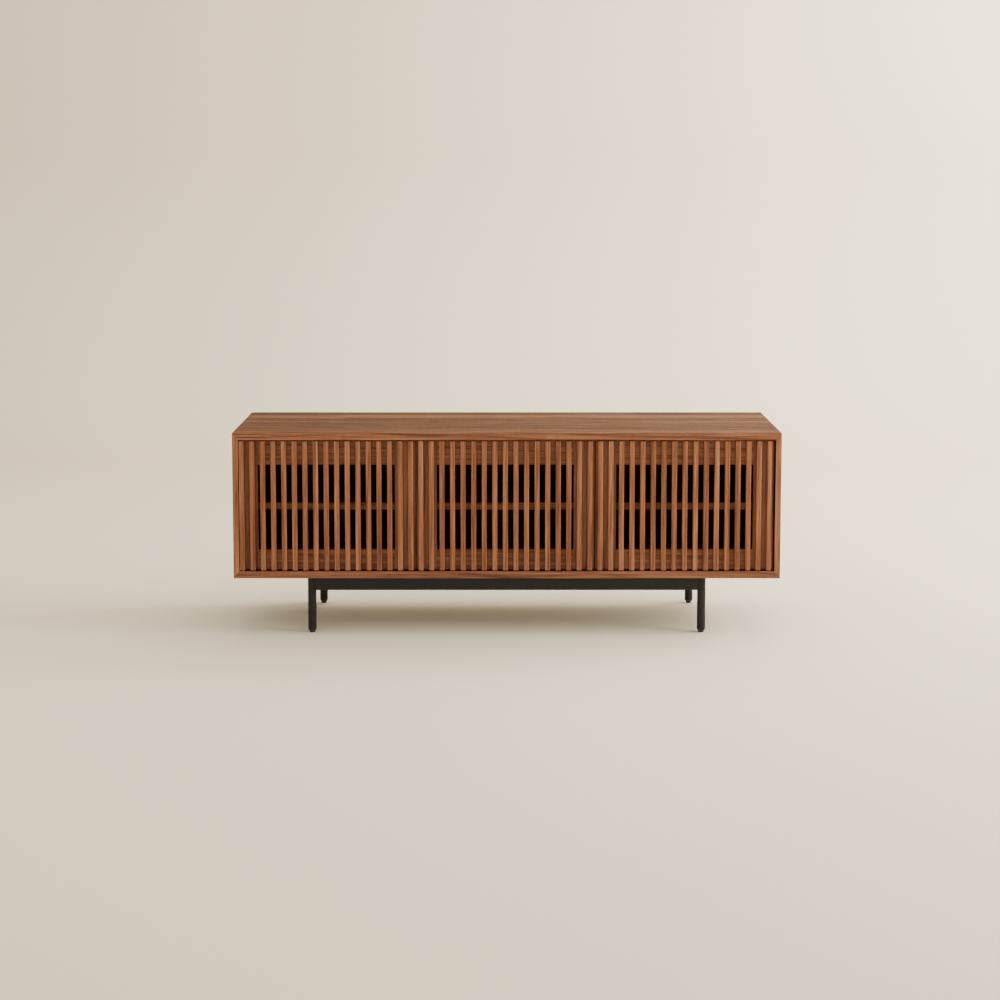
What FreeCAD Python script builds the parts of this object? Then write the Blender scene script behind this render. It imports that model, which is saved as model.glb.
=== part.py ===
import FreeCAD, Part
import os
import re

import Sketcher

# A low media cabinet: a mitred walnut case on a black steel base. Three slatted doors turn on
# pivots at their ends and push open. Millimetres, +X along the cabinet, front towards -Y, +Z up,
# origin on the floor under the middle.

os.makedirs("parts", exist_ok=True)
doc = FreeCAD.newDocument("MediaCabinet")

# ---------------------------------------------------------------- driving sizes

SIZES = {
    # case
    "case_width": 1600,
    "case_depth": 400,
    "case_height": 430,
    "underside_height": 170,
    "side_thick": 17,
    "top_thick": 21,
    "bottom_thick": 21,
    "divider_thick": 17,
    "divider_setback": 5,
    "tongue_thick": 4,
    "tongue_width": 13,
    "tongue_stop": 25,
    "tongue_clearance": 0.1,
    "dowel_radius": 4,
    "dowel_reach": 12,
    "dowel_spacing": 120,
    "dowel_clearance": 0.1,
    # back panel, let into grooves, and its cable outlets
    "back_thick": 6,
    "back_setback": 11,
    "groove_reach": 6,
    "groove_clearance": 0.2,
    "outlet_height": 91,
    "outlet_offset": 2,
    "sleeve_radius": 27,
    "sleeve_wall": 2,
    "sleeve_stand_out": 2,
    "flange_radius": 30,
    "flange_thick": 2,
    "outlet_clearance": 0.4,
    "cap_thick": 3,
    "notch_width": 8,
    "notch_height": 14,
    # shelves
    "shelf_thick": 20,
    "shelf_height": 194,
    "shelf_setback": 46,
    "shelf_clearance": 1,
    "edging_thick": 6,
    "pin_radius": 2.5,
    "pin_reach": 7,
    "collar_radius": 4,
    "collar_thick": 0.6,
    "pin_hole_clearance": 0.1,
    "pin_hole_spacing": 32,
    "pin_edge_distance": 50,
    # doors
    "door_recess": 2.5,
    "left_gap": 1.5,
    "left_joint_gap": 2,
    "right_joint_gap": 3,
    "right_gap": 2.5,
    "top_gap": 3.5,
    "bottom_gap": 2.5,
    "slat_count": 17,
    "slat_width": 14.5,
    "slat_depth": 12,
    "slat_edge_radius": 1.5,
    "slat_margin": 6.5,
    "frame_depth": 18,
    "stile_width": 54,
    "top_rail_height": 71,
    "bottom_rail_height": 59,
    "tenon_thick": 6,
    "tenon_reach": 20,
    "tenon_shoulder": 14,
    "tenon_clearance": 0.1,
    # pivots
    "pivot_inset": 5,
    "pivot_radius": 2,
    "pivot_reach": 8,
    "pivot_clearance": 0.05,
    "pivot_bore_clearance": 0.5,
    "leaf_thick": 2.5,
    "leaf_arm_width": 9,
    "leaf_bar_width": 12,
    "leaf_bar_inset": 3,
    "leaf_length": 40,
    "plate_width": 15,
    "plate_nose": 4.5,
    "plate_length": 48,
    "washer_radius": 5,
    "washer_clearance": 0.2,
    # push latches
    "latch_width": 20,
    "latch_depth": 60,
    "latch_height": 22,
    "latch_setback": 3,
    "latch_edge_distance": 48,
    "ear_width": 8,
    "ear_depth": 12,
    "ear_thick": 3,
    "plunger_radius": 5,
    "plunger_clearance": 0.08,
    "plunger_length": 42,
    "plunger_stroke": 3,
    "strike_gap": 0.3,
    "strike_size": 14,
    "strike_thick": 1,
    # wood screws
    "screw_radius": 1.5,
    "screw_head_radius": 3,
    "screw_head_height": 1.6,
    "screw_length": 12,
    # base
    "base_width": 1174,
    "base_depth": 352,
    "leg_radius": 12.5,
    "leg_wall": 2,
    "rail_height": 42,
    "rail_thick": 20,
    "rail_wall": 2,
    "corner_plate_size": 60,
    "corner_plate_thick": 3,
    "glide_height": 10,
    "glide_pad_radius": 8,
    "glide_pad_height": 3,
    "glide_plug_length": 15,
    "glide_clearance": 0.1,
    "bolt_radius": 2.5,
    "bolt_head_radius": 5,
    "bolt_head_height": 3,
    "bolt_length": 18,
}

# ---------------------------------------------------------------- sizes worked out from them

WORKED_OUT = {
    "case_right": "case_width / 2",
    "case_front": "0 - case_depth / 2",
    "case_back": "case_depth / 2",
    "case_top": "underside_height + case_height",
    "opening_right": "case_right - side_thick",
    "opening_width": "2 * opening_right",
    "opening_bottom": "underside_height + bottom_thick",
    "opening_top": "case_top - top_thick",
    "opening_height": "opening_top - opening_bottom",
    "back_front": "case_back - back_setback - back_thick",
    # doors, from the left
    "slat_span": "(opening_width - left_gap - left_joint_gap - right_joint_gap - right_gap"
                 " - 5 * slat_margin) / 3",
    "left_door_start": "left_gap - opening_right",
    "left_door_end": "left_door_start + slat_span + slat_margin",
    "middle_door_start": "left_door_end + left_joint_gap",
    "middle_door_end": "middle_door_start + slat_span + 2 * slat_margin",
    "right_door_start": "middle_door_end + right_joint_gap",
    "right_door_end": "opening_right - right_gap",
    "door_front": "case_front + door_recess",
    "frame_front": "door_front + slat_depth",
    "door_back": "frame_front + frame_depth",
    "door_bottom": "opening_bottom + bottom_gap",
    "door_top": "opening_top - top_gap",
    "door_height": "door_top - door_bottom",
    "left_pivot": "left_door_start + slat_width / 2",
    "middle_pivot": "middle_door_start + slat_margin + slat_width / 2",
    "right_pivot": "right_door_end - slat_margin - slat_width / 2",
    "pivot_line": "door_front + pivot_inset",
    "leaf_bar_front": "frame_front + leaf_bar_inset",
    # dividers stand behind the joints between doors
    "left_joint": "left_door_end + left_joint_gap / 2",
    "right_joint": "middle_door_end + right_joint_gap / 2",
    "divider_front": "door_back + divider_setback",
    "divider_depth": "back_front - divider_front",
    "divider_middle": "divider_front + divider_depth / 2",
    # compartments, and the shelf in each
    "left_room_start": "0 - opening_right",
    "left_room_end": "left_joint - divider_thick / 2",
    "middle_room_start": "left_joint + divider_thick / 2",
    "middle_room_end": "right_joint - divider_thick / 2",
    "right_room_start": "right_joint + divider_thick / 2",
    "right_room_end": "opening_right",
    "shelf_top": "opening_bottom + shelf_height",
    "shelf_underside": "shelf_top - shelf_thick",
    "shelf_front": "case_front + shelf_setback",
    "shelf_back": "back_front - shelf_clearance",
    "front_pins": "shelf_front + pin_edge_distance",
    "back_pins": "shelf_back - pin_edge_distance",
    "pin_level": "shelf_underside - pin_radius",
    "outlet_level": "opening_bottom + outlet_height",
    "sleeve_front": "back_front - flange_thick",
    "cap_radius": "sleeve_radius - sleeve_wall",
    # latches hang from the top panel behind the free edge of each door
    "left_latch": "left_door_end - latch_edge_distance",
    "middle_latch": "middle_door_end - latch_edge_distance",
    "right_latch": "right_door_start + latch_edge_distance",
    "latch_front": "door_back + latch_setback",
    "latch_level": "opening_top - latch_height / 2",
    "strike_back": "door_back + strike_thick",
    "plunger_tip": "strike_back + strike_gap",
    "latch_bore_depth": "plunger_tip + plunger_length + 2 * plunger_stroke - latch_front",
    # base
    "leg_right": "base_width / 2 - leg_radius",
    "leg_back": "base_depth / 2 - leg_radius",
    "rail_bottom": "underside_height - rail_height",
    "corner_plate_bottom": "underside_height - corner_plate_thick",
}

DOORS = ("left", "middle", "right")
# +1 where a door reaches to the right of its pivot, -1 where it reaches to the left
REACH = {"left": 1, "middle": 1, "right": -1}

sheet = doc.addObject("Spreadsheet::Sheet", "Sizes")
for row, (size_name, size) in enumerate(SIZES.items(), start=1):
    sheet.set(f"A{row}", size_name)
    sheet.set(f"B{row}", str(size))
    sheet.setAlias(f"B{row}", size_name)
doc.recompute()


def formula(text):
    """The sheet's expression for a size written with the names above."""

    def full_name(match):
        name = match.group(0)
        if name in WORKED_OUT:
            return "(" + formula(WORKED_OUT[name]) + ")"
        return "Sizes." + name if name in SIZES else name

    return re.sub(r"[a-z][a-z_]*", full_name, str(text))


def number(text):
    return float(sheet.evalExpression(formula(text)))


# ---------------------------------------------------------------- ways of making solids

FACING = {
    "X": FreeCAD.Rotation(FreeCAD.Vector(0, 1, 0), 90),
    "Y": FreeCAD.Rotation(FreeCAD.Vector(1, 0, 0), -90),
    "Z": FreeCAD.Rotation(),
    "-X": FreeCAD.Rotation(FreeCAD.Vector(0, 1, 0), -90),
    "-Y": FreeCAD.Rotation(FreeCAD.Vector(1, 0, 0), 90),
    "-Z": FreeCAD.Rotation(FreeCAD.Vector(1, 0, 0), 180),
}


def bind(thing, sizes):
    for size_property, text in sizes.items():
        thing.setExpression(size_property, formula(text))


def place(thing, place_at, facing="Z"):
    thing.Placement = FreeCAD.Placement(FreeCAD.Vector(), FACING[facing])
    for axis, text in zip("xyz", place_at):
        thing.setExpression(f"Placement.Base.{axis}", formula(text))


def box(label, corner, size):
    """A box from its lowest corner."""
    piece = doc.addObject("Part::Box", label)
    bind(piece, dict(zip(("Length", "Width", "Height"), size)))
    place(piece, corner)
    return piece


def rod(label, start, facing, radius, length):
    piece = doc.addObject("Part::Cylinder", label)
    bind(piece, {"Radius": radius, "Height": length})
    place(piece, start, facing)
    return piece


def cone(label, start, facing, start_radius, end_radius, length):
    piece = doc.addObject("Part::Cone", label)
    bind(piece, {"Radius1": start_radius, "Radius2": end_radius, "Height": length})
    place(piece, start, facing)
    return piece


def fuse(label, pieces):
    piece = doc.addObject("Part::MultiFuse", label)
    piece.Shapes = pieces
    return piece


def group(label, pieces):
    piece = doc.addObject("Part::Compound", label)
    piece.Links = pieces
    return piece


def cut(label, base, tools):
    piece = doc.addObject("Part::Cut", label)
    piece.Base = base
    piece.Tool = tools[0] if len(tools) == 1 else fuse(label + "_tools", tools)
    return piece


def origin_part(body, role):
    return [part for part in body.Origin.OriginFeatures if part.Role == role][0]


def outline(body, plane, points):
    """A closed sketch on one of the body's planes; each point is a pair of sizes."""
    sketch = body.newObject("Sketcher::SketchObject", body.Label + "_outline")
    sketch.AttachmentSupport = [(origin_part(body, plane), "")]
    sketch.MapMode = "FlatFace"
    corners = [FreeCAD.Vector(number(across), number(up), 0) for across, up in points]
    for index, corner in enumerate(corners):
        following = corners[(index + 1) % len(corners)]
        sketch.addGeometry(Part.LineSegment(corner, following), False)
    for index, (across, up) in enumerate(points):
        following = (index + 1) % len(points)
        sketch.addConstraint(Sketcher.Constraint("Coincident", index, 2, following, 1))
        for kind, text in (("DistanceX", across), ("DistanceY", up)):
            held = sketch.addConstraint(Sketcher.Constraint(kind, index, 1, number(text)))
            sketch.setExpression(f"Constraints[{held}]", formula(text))
    doc.recompute()
    return sketch


def plate_in_depth(label, points, depth):
    """A body with an outline in the XZ plane, centred on the middle of the case's depth."""
    body = doc.addObject("PartDesign::Body", label)
    pad = body.newObject("PartDesign::Pad", label + "_pad")
    pad.Profile = outline(body, "XZ_Plane", points)
    pad.SideType = "Symmetric"
    bind(pad, {"Length": depth})
    return body


def countersunk_screw(label, head_at, facing):
    """A wood screw whose flat head is level with head_at and whose point is towards facing."""
    head = cone(label + "_head", head_at, facing, "screw_head_radius", "screw_radius",
                "screw_head_height")
    shank = rod(label + "_shank", head_at, facing, "screw_radius", "screw_length")
    return fuse(label, [head, shank])


# ---------------------------------------------------------------- what is inside the joints

def corner_tongue(label, side, end, clearance):
    """A loose tongue set at 45 degrees across the mitre of one corner of the case."""
    middle_across = f"{side} * (case_right - side_thick / 2)"
    middle_up = "case_top - top_thick / 2" if end > 0 else "underside_height + bottom_thick / 2"
    width = f"(tongue_width + 2 * {clearance})"
    thick = "tongue_thick"
    far = f"({width} + {thick}) / sqrt(8)"
    near = f"({width} - {thick}) / sqrt(8)"
    points = [
        (f"{middle_across} + {side} * {far}", f"{middle_up} - {end} * {near}"),
        (f"{middle_across} + {side} * {near}", f"{middle_up} - {end} * {far}"),
        (f"{middle_across} - {side} * {far}", f"{middle_up} + {end} * {near}"),
        (f"{middle_across} - {side} * {near}", f"{middle_up} + {end} * {far}"),
    ]
    return plate_in_depth(label, points, f"case_depth - 2 * tongue_stop + 2 * {clearance}")


def divider_dowels(label, reach):
    """Three dowels in each end of each divider."""
    dowels = []
    for joint in ("left_joint", "right_joint"):
        for end_up in ("opening_bottom", "opening_top"):
            for step in (-1, 0, 1):
                start = (joint, f"divider_middle + {step} * dowel_spacing", f"{end_up} - {reach}")
                dowels.append(rod(label, start, "Z", "dowel_radius", f"2 * {reach}"))
    return dowels


def shelf_pin_places():
    """Each pin's place across the cabinet, the way it points into its panel, and its depth."""
    places = []
    for door in DOORS:
        for wall, way in ((f"{door}_room_start", "-X"), (f"{door}_room_end", "X")):
            for depth_at in ("front_pins", "back_pins"):
                places.append((wall, way, depth_at))
    return places


def shelf_pins():
    """Pins pressed into the sides and dividers, each with a collar against the panel."""
    pins = []
    for wall, way, depth_at in shelf_pin_places():
        out = 1 if way == "-X" else -1
        tip = (f"{wall} + {out} * pin_reach", depth_at, "pin_level")
        collar_face = (f"{wall} + {out} * collar_thick", depth_at, "pin_level")
        pin = rod("shelf_pin", tip, way, "pin_radius", "2 * pin_reach")
        collar = rod("shelf_pin_collar", collar_face, way, "collar_radius", "collar_thick")
        pins.append(fuse("shelf_pin_with_collar", [pin, collar]))
    return pins


def shelf_pin_holes():
    """Three heights of hole for every pin, so that a shelf can be moved up or down."""
    holes = []
    for wall, way, depth_at in shelf_pin_places():
        for step in (-1, 0, 1):
            start = (wall, depth_at, f"pin_level + {step} * pin_hole_spacing")
            holes.append(rod("shelf_pin_hole", start, way, "pin_radius + pin_hole_clearance",
                             "pin_reach + pin_hole_clearance"))
    return holes


tongues = []
slots = []
for side in (-1, 1):
    for end in (-1, 1):
        tongues.append(corner_tongue("corner_tongue", side, end, "0"))
        slots.append(corner_tongue("corner_slot", side, end, "tongue_clearance"))

dowels = divider_dowels("divider_dowel", "dowel_reach")
dowel_holes = divider_dowels("divider_dowel_hole", "(dowel_reach + dowel_clearance)")
pin_holes = shelf_pin_holes()

groove = box(
    "back_panel_groove",
    ("0 - opening_right - groove_reach - groove_clearance", "back_front - groove_clearance",
     "opening_bottom - groove_reach - groove_clearance"),
    ("opening_width + 2 * groove_reach + 2 * groove_clearance", "back_thick + 2 * groove_clearance",
     "opening_height + 2 * groove_reach + 2 * groove_clearance"),
)

# ---------------------------------------------------------------- pivots and their fixings


def reaching(door, text):
    """A distance from a door's pivot, towards the free edge of that door."""
    return f"{door}_pivot + {REACH[door]} * ({text})"


def spanning_box(label, door, near, far, front, back, bottom, high):
    """A box between two distances from a door's pivot, whichever way that door reaches."""
    low = near if REACH[door] > 0 else far
    return box(label, (reaching(door, low), front, bottom),
               (f"({far}) - ({near})", f"({back}) - ({front})", high))


def end_levels(end):
    """At one end of a door: the door's end, the panel's face, and the way out of the door."""
    if end == "top":
        return "door_top", "opening_top", 1
    return "door_bottom", "opening_bottom", -1


def leaf_blank(door, end):
    """The angled plate let into one end of a door: an arm to the pivot and a bar on the frame."""
    door_end, _, out = end_levels(end)
    bottom = door_end if out < 0 else f"{door_end} - leaf_thick"
    name = f"{door}_door_{end}_leaf"
    bar = spanning_box(name + "_bar", door, "0 - leaf_arm_width / 2", "leaf_length",
                       "leaf_bar_front", "leaf_bar_front + leaf_bar_width", bottom, "leaf_thick")
    arm = spanning_box(name + "_arm", door, "0 - leaf_arm_width / 2", "leaf_arm_width / 2",
                       "pivot_line", "leaf_bar_front + leaf_bar_width / 2", bottom, "leaf_thick")
    nose = rod(name + "_nose", (f"{door}_pivot", "pivot_line", bottom), "Z",
               "leaf_arm_width / 2", "leaf_thick")
    return fuse(name + "_blank", [bar, arm, nose])


def leaf_screws(door, end):
    door_end, _, out = end_levels(end)
    way = "-Z" if out > 0 else "Z"
    screws = []
    for along in ("leaf_length / 3", "leaf_length - 2 * screw_head_radius"):
        head_at = (reaching(door, along), "leaf_bar_front + leaf_bar_width / 2", door_end)
        screws.append(countersunk_screw(f"{door}_door_{end}_leaf_screw", head_at, way))
    return screws


def pivot_bore(door, end, radius, reach):
    """A round hole up or down into the door from its end, on the pivot's line."""
    door_end, _, out = end_levels(end)
    way = "-Z" if out > 0 else "Z"
    return rod(f"{door}_door_{end}_bore", (f"{door}_pivot", "pivot_line", door_end), way,
               radius, reach)


def plate_blank(door, end):
    """The plate let into the case's top or bottom panel over a pivot."""
    _, face, out = end_levels(end)
    bottom = face if out > 0 else f"{face} - leaf_thick"
    return spanning_box(f"{door}_{end}_pivot_plate", door, "0 - plate_width / 2",
                        "plate_width / 2", "pivot_line - plate_nose",
                        "pivot_line - plate_nose + plate_length", bottom, "leaf_thick")


def plate_screws(door, end):
    _, face, out = end_levels(end)
    way = "Z" if out > 0 else "-Z"
    screws = []
    for along in ("plate_length / 2", "plate_length - 2 * screw_head_radius"):
        head_at = (f"{door}_pivot", f"pivot_line - plate_nose + {along}", face)
        screws.append(countersunk_screw(f"{door}_{end}_plate_screw", head_at, way))
    return screws


def pivot_pin(door, end):
    """The pin from the case's plate across the gap and into the door."""
    _, face, out = end_levels(end)
    gap = f"{end}_gap"
    start_up = f"{face} + {out} * leaf_thick"
    way = "-Z" if out > 0 else "Z"
    return rod(f"{door}_{end}_pivot_pin", (f"{door}_pivot", "pivot_line", start_up), way,
               "pivot_radius", f"leaf_thick + {gap} + pivot_reach")


ENDS = ("bottom", "top")
blanks = {}
bores = {}
door_leaf_screws = {}
case_plates = []
case_plate_screws = []
case_plate_blanks = {"bottom": [], "top": []}
for door in DOORS:
    blanks[door] = [leaf_blank(door, end) for end in ENDS]
    bores[door] = [
        pivot_bore(door, end, "pivot_radius + pivot_bore_clearance",
                   "pivot_reach + pivot_bore_clearance")
        for end in ENDS
    ]
    door_leaf_screws[door] = [screw for end in ENDS for screw in leaf_screws(door, end)]
    for end in ENDS:
        blank = plate_blank(door, end)
        screws = plate_screws(door, end)
        drilled = cut(f"{door}_{end}_plate_drilled", blank, screws)
        case_plates.append(fuse(f"{door}_{end}_plate_with_pin", [drilled, pivot_pin(door, end)]))
        case_plate_blanks[end].append(blank)
        case_plate_screws += screws

# ---------------------------------------------------------------- push latches


def latch_ear_screws(door):
    """One screw up into the top panel through the ear on each side of a latch."""
    screws = []
    for side in (-1, 1):
        head_at = (f"{door}_latch + {side} * (latch_width / 2 + ear_width / 2)",
                   "latch_front + latch_depth / 2", "opening_top - ear_thick")
        screws.append(countersunk_screw(f"{door}_latch_screw", head_at, "Z"))
    return screws


def latch_housing(door, screws):
    case = box(
        f"{door}_latch_case",
        (f"{door}_latch - latch_width / 2", "latch_front", "opening_top - latch_height"),
        ("latch_width", "latch_depth", "latch_height"),
    )
    ears = box(
        f"{door}_latch_ears",
        (f"{door}_latch - latch_width / 2 - ear_width",
         "latch_front + latch_depth / 2 - ear_depth / 2", "opening_top - ear_thick"),
        ("latch_width + 2 * ear_width", "ear_depth", "ear_thick"),
    )
    bore = rod(f"{door}_latch_bore", (f"{door}_latch", "latch_front", "latch_level"), "Y",
               "plunger_radius + plunger_clearance", "latch_bore_depth")
    return cut(f"{door}_latch_housing", fuse(f"{door}_latch_blank", [case, ears]),
               [bore] + screws)


def strike_screw(door):
    head_at = (f"{door}_latch", "strike_back", "latch_level")
    return countersunk_screw(f"{door}_strike_screw", head_at, "-Y")


latch_screws = []
latch_housings = []
strike_screws = {}
for door in DOORS:
    ear_screws = latch_ear_screws(door)
    latch_screws += ear_screws
    latch_housings.append(latch_housing(door, ear_screws))
    strike_screws[door] = strike_screw(door)

# ---------------------------------------------------------------- the steel base's places

corners = [(side, end) for side in (-1, 1) for end in (-1, 1)]


def bolt_places():
    """Two bolts through each corner plate, on the diagonal that passes the leg by."""
    places = []
    for side, end in corners:
        for near, far in ((1, 3), (3, 1)):
            across = f"{side} * (leg_right - rail_thick / 2 - {near} * corner_plate_size / 4)"
            deep = f"{end} * (leg_back - rail_thick / 2 - {far} * corner_plate_size / 4)"
            places.append((across, deep))
    return places


def bolt(label, across, deep):
    head = rod(label + "_head", (across, deep, "corner_plate_bottom - bolt_head_height"), "Z",
               "bolt_head_radius", "bolt_head_height")
    shank = rod(label + "_shank", (across, deep, "corner_plate_bottom"), "Z", "bolt_radius",
                "bolt_length")
    return fuse(label, [head, shank])


bolts = [bolt("base_bolt", across, deep) for across, deep in bolt_places()]

# ---------------------------------------------------------------- pieces: the case

pieces = []


def keep(piece, label):
    piece.Label = label
    pieces.append(piece)
    return piece


top_blank = plate_in_depth(
    "top_panel_blank",
    [("0 - case_right", "case_top"), ("case_right", "case_top"),
     ("opening_right", "opening_top"), ("0 - opening_right", "opening_top")],
    "case_depth",
)
bottom_blank = plate_in_depth(
    "bottom_panel_blank",
    [("0 - case_right", "underside_height"), ("case_right", "underside_height"),
     ("opening_right", "opening_bottom"), ("0 - opening_right", "opening_bottom")],
    "case_depth",
)
keep(cut("top_panel_piece", top_blank,
         slots + dowel_holes + [groove] + case_plate_blanks["top"] + case_plate_screws
         + latch_screws), "top_panel")
keep(cut("bottom_panel_piece", bottom_blank,
         slots + dowel_holes + [groove] + case_plate_blanks["bottom"] + case_plate_screws
         + bolts), "bottom_panel")
for side_name, side in (("left", -1), ("right", 1)):
    side_blank = plate_in_depth(
        f"{side_name}_side_blank",
        [(f"{side} * case_right", "underside_height"), (f"{side} * case_right", "case_top"),
         (f"{side} * opening_right", "opening_top"),
         (f"{side} * opening_right", "opening_bottom")],
        "case_depth",
    )
    keep(cut(f"{side_name}_side_piece", side_blank, slots + [groove] + pin_holes),
         f"{side_name}_side_panel")
    divider_blank = box(
        f"{side_name}_divider_blank",
        (f"{side_name}_joint - divider_thick / 2", "divider_front", "opening_bottom"),
        ("divider_thick", "divider_depth", "opening_height"),
    )
    keep(cut(f"{side_name}_divider_piece", divider_blank, dowel_holes + pin_holes),
         f"{side_name}_divider")
keep(group("tongue_group", tongues), "corner_tongues")
keep(group("dowel_group", dowels), "divider_dowels")

back_blank = box(
    "back_panel_blank",
    ("0 - opening_right - groove_reach", "back_front", "opening_bottom - groove_reach"),
    ("opening_width + 2 * groove_reach", "back_thick", "opening_height + 2 * groove_reach"),
)
outlets = []
sleeves = []
caps = []
for room in ("left", "middle"):
    middle = f"(({room}_room_start + {room}_room_end) / 2 - outlet_offset)"
    at_panel = (middle, "back_front", "outlet_level")
    at_front = (middle, "sleeve_front", "outlet_level")
    outlets.append(rod(f"{room}_outlet", at_panel, "Y", "sleeve_radius + outlet_clearance",
                       "back_thick"))
    barrel = rod(f"{room}_sleeve_barrel", at_panel, "Y", "sleeve_radius",
                 "back_thick + sleeve_stand_out")
    flange = rod(f"{room}_sleeve_flange", at_front, "Y", "flange_radius", "flange_thick")
    inside = rod(f"{room}_sleeve_inside", at_front, "Y", "cap_radius",
                 "flange_thick + back_thick + sleeve_stand_out")
    sleeves.append(cut(f"{room}_sleeve", fuse(f"{room}_sleeve_blank", [barrel, flange]),
                       [inside]))
    disc = rod(f"{room}_cap_disc", at_front, "Y", "cap_radius", "cap_thick")
    notch_top = rod(f"{room}_notch_top", (middle, "sleeve_front",
                    "outlet_level - cap_radius + notch_height - notch_width / 2"), "Y",
                    "notch_width / 2", "cap_thick")
    notch = box(f"{room}_notch",
                (f"{middle} - notch_width / 2", "sleeve_front", "outlet_level - cap_radius"),
                ("notch_width", "cap_thick", "notch_height - notch_width / 2"))
    caps.append(cut(f"{room}_cap", disc, [notch, notch_top]))
keep(group("sleeve_group", sleeves), "outlet_sleeves")
keep(group("cap_group", caps), "outlet_caps")
keep(cut("back_panel_piece", back_blank, outlets), "back_panel")

# ---------------------------------------------------------------- pieces: the shelves

edgings = []
for door in DOORS:
    start = f"{door}_room_start + shelf_clearance"
    width = f"{door}_room_end - {door}_room_start - 2 * shelf_clearance"
    keep(box(f"{door}_shelf_board", (start, "shelf_front + edging_thick", "shelf_underside"),
             (width, "shelf_back - shelf_front - edging_thick", "shelf_thick")), f"{door}_shelf")
    edgings.append(box(f"{door}_shelf_edging", (start, "shelf_front", "shelf_underside"),
                       (width, "edging_thick", "shelf_thick")))
keep(group("edging_group", edgings), "shelf_edgings")
keep(group("pin_group", shelf_pins()), "shelf_pins")

# ---------------------------------------------------------------- pieces: the doors


def slat_row(door, start):
    """A row of upright slats with softened front edges, as one patterned body."""
    body = doc.addObject("PartDesign::Body", f"{door}_door_slat_row")
    sketch = outline(body, "XY_Plane", [("0", "0"), ("slat_width", "0"),
                                        ("slat_width", "slat_depth"), ("0", "slat_depth")])
    pad = body.newObject("PartDesign::Pad", f"{door}_door_slat")
    pad.Profile = sketch
    bind(pad, {"Length": "door_height"})
    doc.recompute()
    softened = body.newObject("PartDesign::Fillet", f"{door}_door_slat_edges")
    upright_front = [
        f"Edge{index}"
        for index, edge in enumerate(pad.Shape.Edges, start=1)
        if edge.BoundBox.YMax < 0.001 and edge.BoundBox.XLength < 0.001
    ]
    softened.Base = (pad, upright_front)
    bind(softened, {"Radius": "slat_edge_radius"})
    pattern = body.newObject("PartDesign::LinearPattern", f"{door}_door_slat_pattern")
    pattern.Originals = [pad, softened]
    pattern.Direction = (origin_part(body, "X_Axis"), [""])
    bind(pattern, {"Length": "slat_span - slat_width", "Occurrences": "slat_count"})
    body.Tip = pattern
    place(body, (start, "door_front", "door_bottom"))
    return body


def door_frame(door, slat_start, left_margin, right_margin):
    """Two stiles with mortises and two rails with tenons."""
    left_edge = f"({slat_start} - {left_margin})"
    window_left = f"({slat_start} + stile_width)"
    window_right = f"({slat_start} + slat_span - stile_width)"
    window_width = "(slat_span - 2 * stile_width)"
    rails = {
        "top": ("door_top - top_rail_height", "top_rail_height"),
        "bottom": ("door_bottom", "bottom_rail_height"),
    }
    mortises = []
    for end, (rail_bottom, rail_high) in rails.items():
        rail = box(f"{door}_door_{end}_rail_middle", (window_left, "frame_front", rail_bottom),
                   (window_width, "frame_depth", rail_high))
        shapes = {}
        for kind, gap in (("tenon", "0"), ("mortise", "tenon_clearance")):
            shapes[kind] = box(
                f"{door}_door_{end}_{kind}",
                (f"{window_left} - tenon_reach - {gap}",
                 f"frame_front + frame_depth / 2 - tenon_thick / 2 - {gap}",
                 f"{rail_bottom} + tenon_shoulder - {gap}"),
                (f"{window_width} + 2 * tenon_reach + 2 * {gap}", f"tenon_thick + 2 * {gap}",
                 f"{rail_high} - 2 * tenon_shoulder + 2 * {gap}"),
            )
        mortises.append(shapes["mortise"])
        whole = fuse(f"{door}_door_{end}_rail_whole", [rail, shapes["tenon"]])
        if end == "top":
            whole = cut(f"{door}_door_top_rail_drilled", whole, [strike_screws[door]])
        keep(whole, f"{door}_door_{end}_rail")
    stiles = {
        "left": (left_edge, f"stile_width + {left_margin}"),
        "right": (window_right, f"stile_width + {right_margin}"),
    }
    for stile_side, (start, width) in stiles.items():
        blank = box(f"{door}_door_{stile_side}_stile_blank", (start, "frame_front", "door_bottom"),
                    (width, "frame_depth", "door_height"))
        tools = mortises + blanks[door] + door_leaf_screws[door] + [strike_screws[door]]
        keep(cut(f"{door}_door_{stile_side}_stile_piece", blank, tools),
             f"{door}_door_{stile_side}_stile")


SLAT_STARTS = {
    "left": "left_door_start",
    "middle": "(middle_door_start + slat_margin)",
    "right": "(right_door_start + slat_margin)",
}
plungers = []
for door in DOORS:
    left_margin = "0" if door == "left" else "slat_margin"
    door_frame(door, SLAT_STARTS[door], left_margin, "slat_margin")
    row = slat_row(door, SLAT_STARTS[door])
    keep(cut(f"{door}_door_slats_piece", row, blanks[door] + bores[door]), f"{door}_door_slats")
    drilled_leaves = []
    for end, blank in zip(ENDS, blanks[door]):
        hole = pivot_bore(door, end, "pivot_radius + pivot_clearance", "leaf_thick")
        drilled_leaves.append(cut(f"{door}_door_{end}_leaf_piece", blank,
                                  [hole] + door_leaf_screws[door]))
    keep(group(f"{door}_door_leaf_group", drilled_leaves), f"{door}_door_pivot_leaves")
    strike = box(f"{door}_door_strike_blank",
                 (f"{door}_latch - strike_size / 2", "door_back", "latch_level - strike_size / 2"),
                 ("strike_size", "strike_thick", "strike_size"))
    keep(cut(f"{door}_door_strike_piece", strike, [strike_screws[door]]),
         f"{door}_door_strike_plate")
    keep(group(f"{door}_door_screw_group", door_leaf_screws[door] + [strike_screws[door]]),
         f"{door}_door_screws")
    keep(rod(f"{door}_plunger", (f"{door}_latch", "plunger_tip", "latch_level"), "Y",
             "plunger_radius", "plunger_length"), f"{door}_latch_plunger")

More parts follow.
